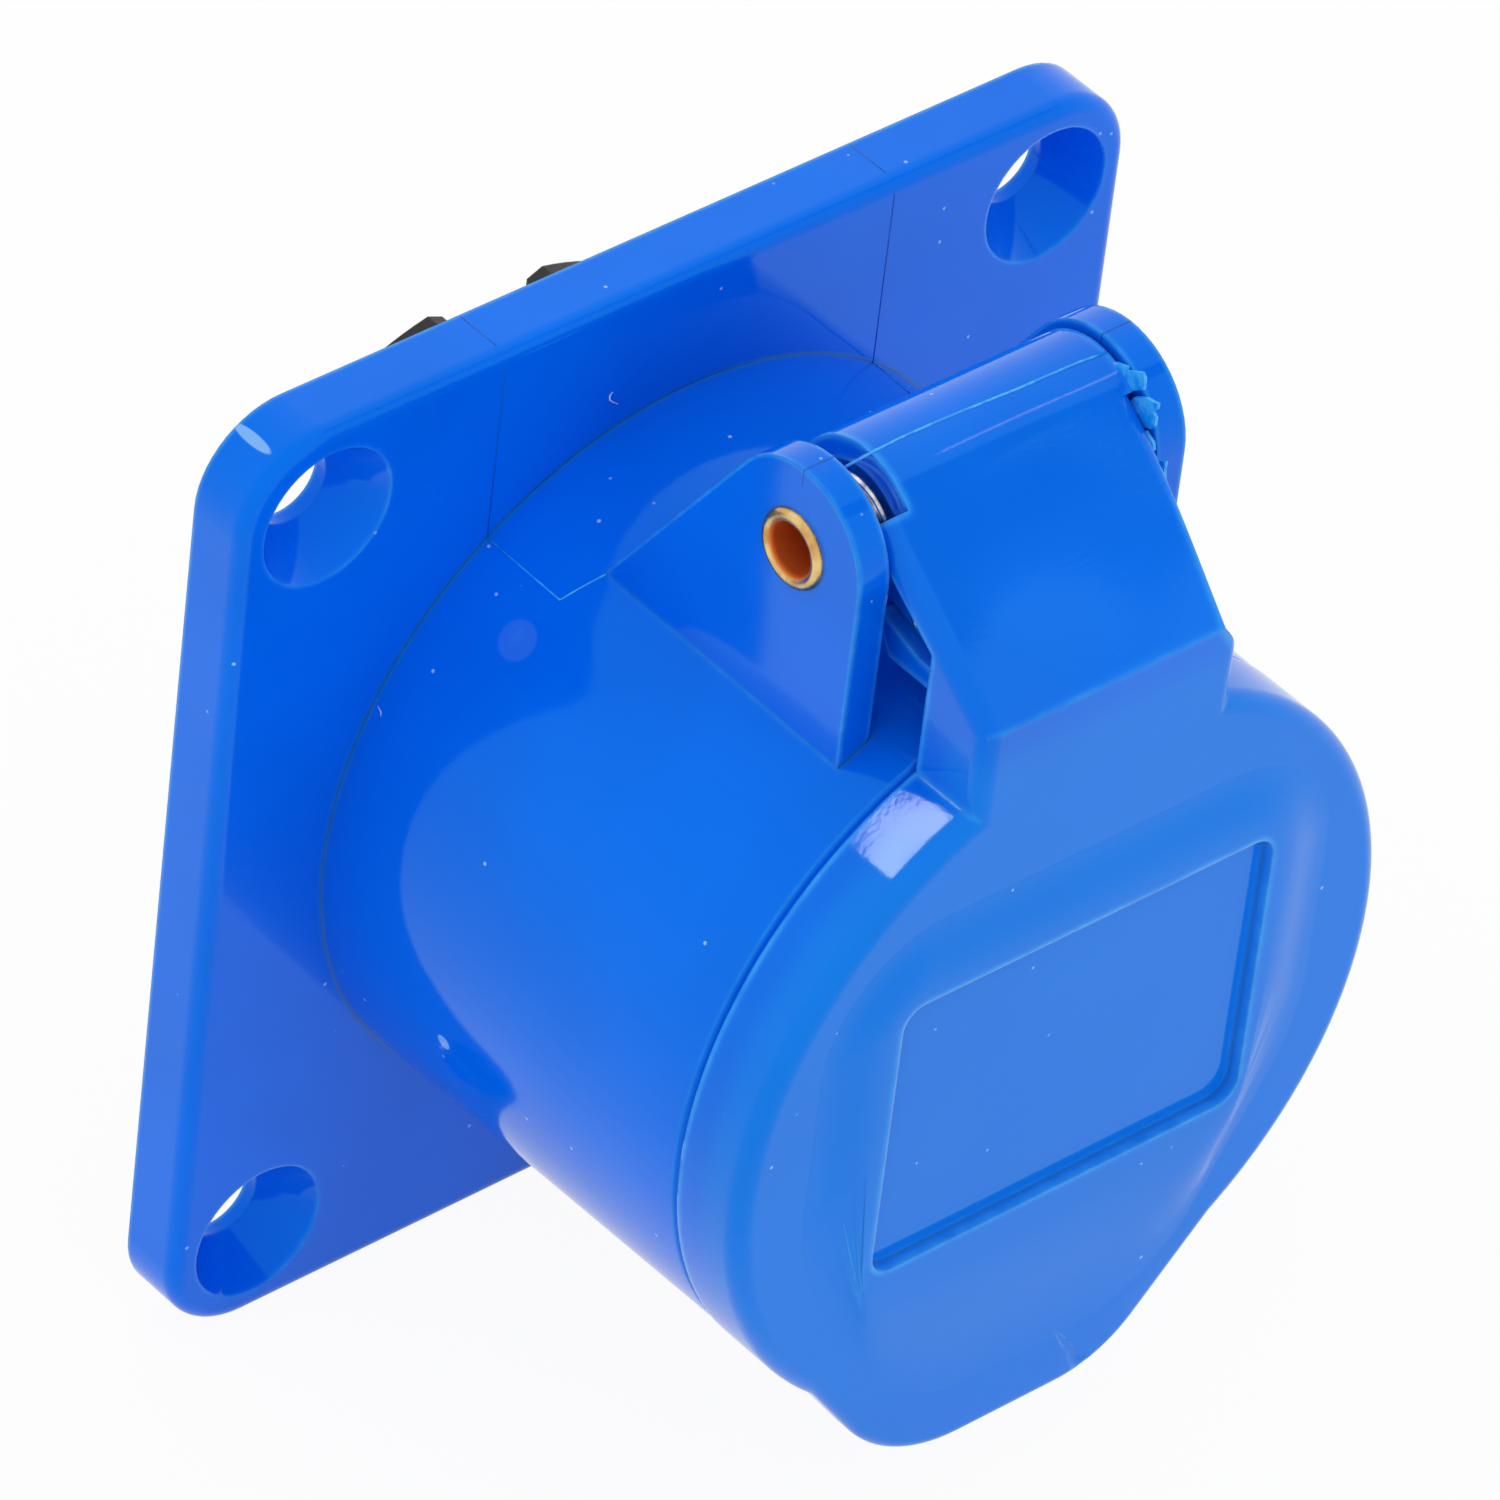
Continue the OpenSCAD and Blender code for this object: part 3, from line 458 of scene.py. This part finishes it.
def sweptMesh(name, paths, radius, sides=6):  # round section along each path of points in metres
    made = bmesh.new()
    for path in paths:
        rings = []
        side = None
        for i, point in enumerate(path):
            along = (path[min(i + 1, len(path) - 1)] - path[max(i - 1, 0)]).normalized()
            side = (side - along * side.dot(along)).normalized() if side else along.orthogonal().normalized()
            rise = along.cross(side)
            ring = []
            for k in range(sides):
                turn = 2 * math.pi * k / sides
                outward = side * math.cos(turn) + rise * math.sin(turn)
                ring.append(made.verts.new(point + radius * outward))
            rings.append(ring)
        for ring, following in zip(rings, rings[1:]):
            bridge(made, ring, following)
        made.faces.new(rings[0][::-1])
        made.faces.new(rings[-1])
    mesh = meshOf(name, made)
    for face in mesh.polygons:
        face.use_smooth = len(face.vertices) == 4
    return mesh


def roundHinge(x, awayMm, degrees):  # point in mm, 0 degrees being toward the flange and 90 up
    angle = math.radians(degrees)
    return hingeAxis + Vector((x, awayMm * math.cos(angle), awayMm * math.sin(angle)))


# Torsion spring on the hinge: the rear leg lies on the barrel, the front leg under the lid's arm.
# Each leg leaves the coil at an angle round the hinge and ends at a level
springWork = {
    "wireRadiusMm": 0.4, "coilRadiusMm": 3.05, "fromX": -10.05, "toX": -8.2, "turns": 2,
    "rearDeg": 30, "rearEndZ": 24.46, "frontDeg": 141.7, "frontEndZ": 31.4,
    "sides": 16, "coilSteps": 120, "legSteps": 12,
}


def makeSpring(look):
    swept = look["frontDeg"] - look["rearDeg"] + 360 * look["turns"]

    def onCoil(share):
        x = look["fromX"] + share * (look["toX"] - look["fromX"])
        return roundHinge(x, look["coilRadiusMm"], look["rearDeg"] + share * swept)

    def legTip(share, degrees, side, endZ):  # along the tangent, as far as the level that it ends at
        start = onCoil(share)
        angle = math.radians(degrees)
        along = Vector((0, -math.sin(angle), math.cos(angle))) * side
        return start + along * (endZ - start.z) / along.z

    rear = legTip(0, look["rearDeg"], -1, look["rearEndZ"])
    front = legTip(1, look["frontDeg"], 1, look["frontEndZ"])
    count = look["legSteps"]
    path = [rear.lerp(onCoil(0), i / count) for i in range(count)]
    path += [onCoil(i / look["coilSteps"]) for i in range(look["coilSteps"] + 1)]
    path += [onCoil(1).lerp(front, i / count) for i in range(1, count + 1)]
    mesh = sweptMesh("springCoil", [[p * mm for p in path]], look["wireRadiusMm"] * mm, look["sides"])
    piece = newPiece("springCoil", mesh, "wire")
    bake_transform(piece)
    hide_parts("hinge_spring")


makeSpring(springWork)
print("spring made")

# Fine raised lines that the mould's slides leave on the flange and the barrel, left and right. They
# are round in section and half sunk in the plastic
witnessLines = {
    "halfX": 15.35, "flangeRadiusMm": 0.04, "barrelRadiusMm": 0.06,
    # over the flange's top edge and down its face, as y and z
    "overFlange": ((-0.2, 35), (-3.5, 35), (-4.2, 34.7), (-4.5, 34), (-4.5, 21)),
    # along the barrel from its foot, then slanting to the ear
    "footY": -4.5, "turnY": -11.4, "earX": 12.85, "earY": -12.5, "slantSteps": 6,
    # the barrel narrows from its foot by its draft
    "footRadius": 26, "draftMm": 0.5, "draftOverMm": 32.6,
}


def makeWitnessLines(look):
    def onBarrel(x, y):  # point on the barrel's upper side
        radius = look["footRadius"] - look["draftMm"] * (look["footY"] - y) / look["draftOverMm"]
        return Vector((x, y, math.sqrt(radius * radius - x * x))) * mm

    flangePaths = []
    barrelPaths = []
    for side in (-1, 1):
        x = side * look["halfX"]
        flangePaths.append([Vector((x, y, z)) * mm for y, z in look["overFlange"]])
        path = [onBarrel(x, look["footY"])]
        for i in range(look["slantSteps"] + 1):
            share = i / look["slantSteps"]
            path.append(onBarrel(
                x + (side * look["earX"] - x) * share,
                look["turnY"] + (look["earY"] - look["turnY"]) * share))
        barrelPaths.append(path)
    # the barrel's lines take the pale flash colour, a painted highlight along them
    for name, paths, radius, material in (
            ("flangeLines", flangePaths, look["flangeRadiusMm"], "blue"),
            ("barrelLines", barrelPaths, look["barrelRadiusMm"], "flash")):
        piece = newPiece(name, sweptMesh(name, paths, radius * mm), material, "socket")


makeWitnessLines(witnessLines)

# Thin wavy line along the hood, where two halves of the mould met, in the pale flash colour as a
# painted highlight along it: x and the angle round the hinge
hoodLine = {
    "radiusMm": 0.09, "awayMm": 5.4,
    "course": ((-10.1, 97.1), (-7.8, 95.4), (-5.6, 94.6), (-3.2, 94.9), (-1.0, 95.6), (1.4, 96.8),
               (3.5, 97.9), (5.9, 98.2), (8.1, 98.9), (10.1, 100.6)),
}


def makeHoodLine(look):
    path = [roundHinge(x, look["awayMm"], degrees) * mm for x, degrees in look["course"]]
    piece = newPiece("hoodLine", sweptMesh("hoodLine", [path], look["radiusMm"] * mm), "flash", "lid")


makeHoodLine(hoodLine)
print("mould lines made")

# Torn flash on the right end of the hood and panel: outlines in y and z, all 0.1 mm clear of the
# ear. Both sides of a flake swell to a crown, crownShare of the outline wide and of crownMm high
flashWork = {
    "fromX": 10.12, "toX": 10.34, "crownMm": 0.1, "crownShare": 0.6,
    "flakes": {
        "squareFlake": ((-30.7, 40.0), (-32.0, 40.7), (-32.25, 40.4), (-32.3, 39.6), (-31.3, 38.9),
                        (-30.6, 39.0)),
        "curledFlake": ((-31.1, 37.6), (-31.6, 38.6), (-32.6, 39.2), (-33.6, 39.4), (-33.6, 39.0),
                        (-33.3, 38.6), (-33.6, 38.35), (-33.6, 37.7), (-33.3, 37.3), (-32.7, 37.1),
                        (-32.2, 37.0)),
        "splinter": ((-29.6, 39.9), (-30.7, 40.3), (-30.7, 39.4), (-30.2, 39.4)),
        "lowerFlake": ((-33.6, 35.3), (-34.9, 35.9), (-34.9, 35.2), (-35.0, 34.6), (-34.2, 34.6)),
        "thinFlake": ((-32.9, 36.9), (-33.65, 36.5), (-33.8, 36.0), (-33.2, 36.1)),
    },
}


def makeFlakes(look):
    made = bmesh.new()
    for outline in look["flakes"].values():
        points = [Vector((0, y, z)) for y, z in outline]
        middle = sum(points, Vector()) / len(points)
        rings = []
        for x, rise in ((look["fromX"], -look["crownMm"]), (look["toX"], look["crownMm"])):
            ring = [made.verts.new((point + Vector((x, 0, 0))) * mm) for point in points]
            top = Vector((x + rise * look["crownShare"], 0, 0))
            inward = [middle.lerp(point, look["crownShare"]) for point in points]
            crown = [made.verts.new((top + point) * mm) for point in inward]
            bridge(made, ring, crown)
            made.faces.new(crown)
            rings.append(ring)
        bridge(made, *rings)
    piece = newPiece("flashFlakes", meshOf("flashFlakes", made), "flash", "lid")


makeFlakes(flashWork)
print("flash made")

# Packing lint that clings to the housing: one hook on the flange, one fleck beside the barrel's foot
lintWork = {
    "radiusMm": 0.045,
    "threads": (
        ((-6.35, -4.5, 28.2), (-6.55, -4.53, 28.0), (-6.55, -4.55, 27.7), (-6.2, -4.55, 27.35),
         (-5.8, -4.5, 27.05)),
        ((-23.17, -4.9, 11.69), (-23.25, -5.3, 11.55), (-23.38, -5.5, 11.2)),
    ),
}


def makeLint(look):
    paths = [[Vector(point) * mm for point in thread] for thread in look["threads"]]
    piece = newPiece("packingLint", sweptMesh("packingLint", paths, look["radiusMm"] * mm), "lint", "socket")


makeLint(lintWork)
print("lint made")

# Pale floor in a white light tent. How white the camera, gloss and glass see them is set apart from
# the light that they throw on the object, which is a little weaker from below
studio = {
    "floorMm": 6000, "floorZ": -35.0, "floorColor": "#f4f4f5", "glowShare": 0.94, "mirroredShare": 0.7,
    "fromBelow": 0.72, "fromAbove": 1.0,
    # a duller panel of the tent, as its direction and the cosines between which its edge fades
    "panelAzimuth": 54, "panelElevation": 46.5, "panelCos": (0.9943, 0.9956), "panelLevel": 0.3,
}


def directionOf(azimuth, elevation):  # azimuth 0 is the front, 90 the right side
    a, e = math.radians(azimuth), math.radians(elevation)
    return Vector((math.sin(a) * math.cos(e), -math.cos(a) * math.cos(e), math.sin(e)))


def seenDirectly(tree):  # 1 for camera, glossy and transmission rays, and 1 for camera rays alone
    ray = addNode(tree, "ShaderNodeLightPath").outputs
    seen = ray["Is Camera Ray"]
    for kind in ("Is Glossy Ray", "Is Transmission Ray"):
        seen = addNode(tree, "ShaderNodeMath", {
            0: seen, 1: ray[kind]}, operation="MAXIMUM").outputs["Value"]
    return seen, ray["Is Camera Ray"]


def makeFloor(look):
    made, tree, shader = newMaterial("paleFloor", {
        "Base Color": linearColor(look["floorColor"]), "Roughness": 0.6, "Specular IOR Level": 0.0})[:3]
    glow = addNode(tree, "ShaderNodeEmission", {"Color": (1, 1, 1, 1), "Strength": 1.0})
    seen, camera = seenDirectly(tree)
    most = addNode(tree, "ShaderNodeMapRange", {
        "Value": camera, "To Min": look["mirroredShare"], "To Max": look["glowShare"]})
    share = addNode(tree, "ShaderNodeMath", {0: seen, 1: most.outputs["Result"]}, operation="MULTIPLY")
    mixed = addNode(tree, "ShaderNodeMixShader", {
        0: share.outputs["Value"], 1: shader.outputs["BSDF"], 2: glow.outputs["Emission"]})
    tree.links.new(mixed.outputs["Shader"], tree.get_output_node("ALL").inputs["Surface"])
    bpy.ops.mesh.primitive_plane_add(size=look["floorMm"] * mm, location=(0, 0, look["floorZ"] * mm))
    floor = bpy.context.object
    floor.name = "floor"
    floor.data.materials.append(made)


def makeTent(look):
    world = bpy.data.worlds.new("lightTent")
    bpy.context.scene.world = world
    world.use_nodes = True
    tree = world.node_tree
    tree.nodes.clear()
    seen, camera = seenDirectly(tree)
    toward = addNode(tree, "ShaderNodeTexCoord").outputs["Generated"]
    height = addNode(tree, "ShaderNodeSeparateXYZ", {0: toward})
    light = addNode(tree, "ShaderNodeMapRange", {
        "Value": height.outputs["Z"], "From Min": -1.0, "From Max": 1.0,
        "To Min": look["fromBelow"], "To Max": look["fromAbove"]})
    panel = addNode(tree, "ShaderNodeVectorMath", {
        0: toward, 1: directionOf(look["panelAzimuth"], look["panelElevation"])}, operation="DOT_PRODUCT")
    rim, core = look["panelCos"]
    tent = addNode(tree, "ShaderNodeMapRange", {
        "Value": panel.outputs["Value"], "From Min": rim, "From Max": core,
        "To Min": 1.0, "To Max": look["panelLevel"]}, interpolation_type="SMOOTHERSTEP")
    mirrored = addNode(tree, "ShaderNodeMix", {
        0: camera, 2: tent.outputs["Result"], 3: 1.0}, data_type="FLOAT")
    level = addNode(tree, "ShaderNodeMix", {
        0: seen, 2: light.outputs["Result"], 3: mirrored.outputs[0]}, data_type="FLOAT")
    back = addNode(tree, "ShaderNodeBackground", {"Color": (1, 1, 1, 1), "Strength": level.outputs[0]})
    addNode(tree, "ShaderNodeOutputWorld", {"Surface": back.outputs["Background"]})


makeFloor(studio)
makeTent(studio)

# Strip lamps that light only the lid, for its few white glints: where a glint lies, the direction
# and distance of its lamp from there, the direction of the lamp's long side, its two sides and its
# radiance. Their light is warm, because the blue plastic takes red out of what it mirrors
stripLamps = {
    "skirtStrip": {
        "at": (-12.2, -40.1, 22.5), "toward": (-0.32, 0.5375, 0.78), "along": (1, 0, 0.4),
        "awayMm": 150, "longMm": 55, "shortMm": 5, "radiance": 30, "color": "#ff9590"},
    "hoodStrip": {
        "at": (8.5, -31, 39.6), "toward": (0.5495, -0.1319, 0.825), "along": (1, 0, 0),
        "awayMm": 150, "longMm": 16, "shortMm": 4, "radiance": 10, "color": "#ff9590"},
}


def makeLamp(name, look):
    toward = Vector(look["toward"]).normalized()
    along = Vector(look["along"])
    along = (along - toward * along.dot(toward)).normalized()
    lamp = bpy.data.lights.new(name, "AREA")
    lamp.shape = "RECTANGLE"
    lamp.size = look["longMm"] * mm
    lamp.size_y = look["shortMm"] * mm
    lamp.energy = look["radiance"] * math.pi * lamp.size * lamp.size_y
    lamp.color = linearColor(look["color"])[:3]
    holder = bpy.data.objects.new(name, lamp)
    pose = Matrix((along, toward.cross(along), toward)).transposed().to_4x4()
    pose.translation = (Vector(look["at"]) + toward * look["awayMm"]) * mm
    holder.matrix_world = pose
    holder.visible_camera = False
    lit = bpy.data.collections.new(name)
    lit.objects.link(cadNodes["lid"])
    holder.light_linking.receiver_collection = lit
    bpy.context.scene.collection.objects.link(holder)


for lampName, lampLook in stripLamps.items():
    makeLamp(lampName, lampLook)

# Camera at the photograph's angle, with a frame as wide as a 36 mm film's
viewpoint = {
    "azimuth": -44.853, "elevation": 39.479, "roll": 7.125, "awayMm": 854.25,
    "aimMm": (4.218, -9.273, -1.458), "lensMm": 332.78, "filmMm": 36, "farMm": 20000,
}


def makeCamera(look):
    back = directionOf(look["azimuth"], look["elevation"])
    roll = math.radians(look["roll"])
    right = (-back).cross(Vector((0, 0, 1))).normalized()
    up = right.cross(-back)
    turnedRight = right * math.cos(roll) + up * math.sin(roll)
    turnedUp = up * math.cos(roll) - right * math.sin(roll)
    lens = bpy.data.cameras.new("camera")
    lens.lens = look["lensMm"]
    lens.sensor_width = look["filmMm"]
    lens.clip_end = look["farMm"] * mm
    camera = bpy.data.objects.new("camera", lens)
    bpy.context.scene.collection.objects.link(camera)
    pose = Matrix((turnedRight, turnedUp, back)).transposed().to_4x4()
    pose.translation = (Vector(look["aimMm"]) + back * look["awayMm"]) * mm
    camera.matrix_world = pose
    bpy.context.scene.camera = camera


makeCamera(viewpoint)
bpy.context.scene.view_settings.view_transform = "Standard"
print("studio and camera set")
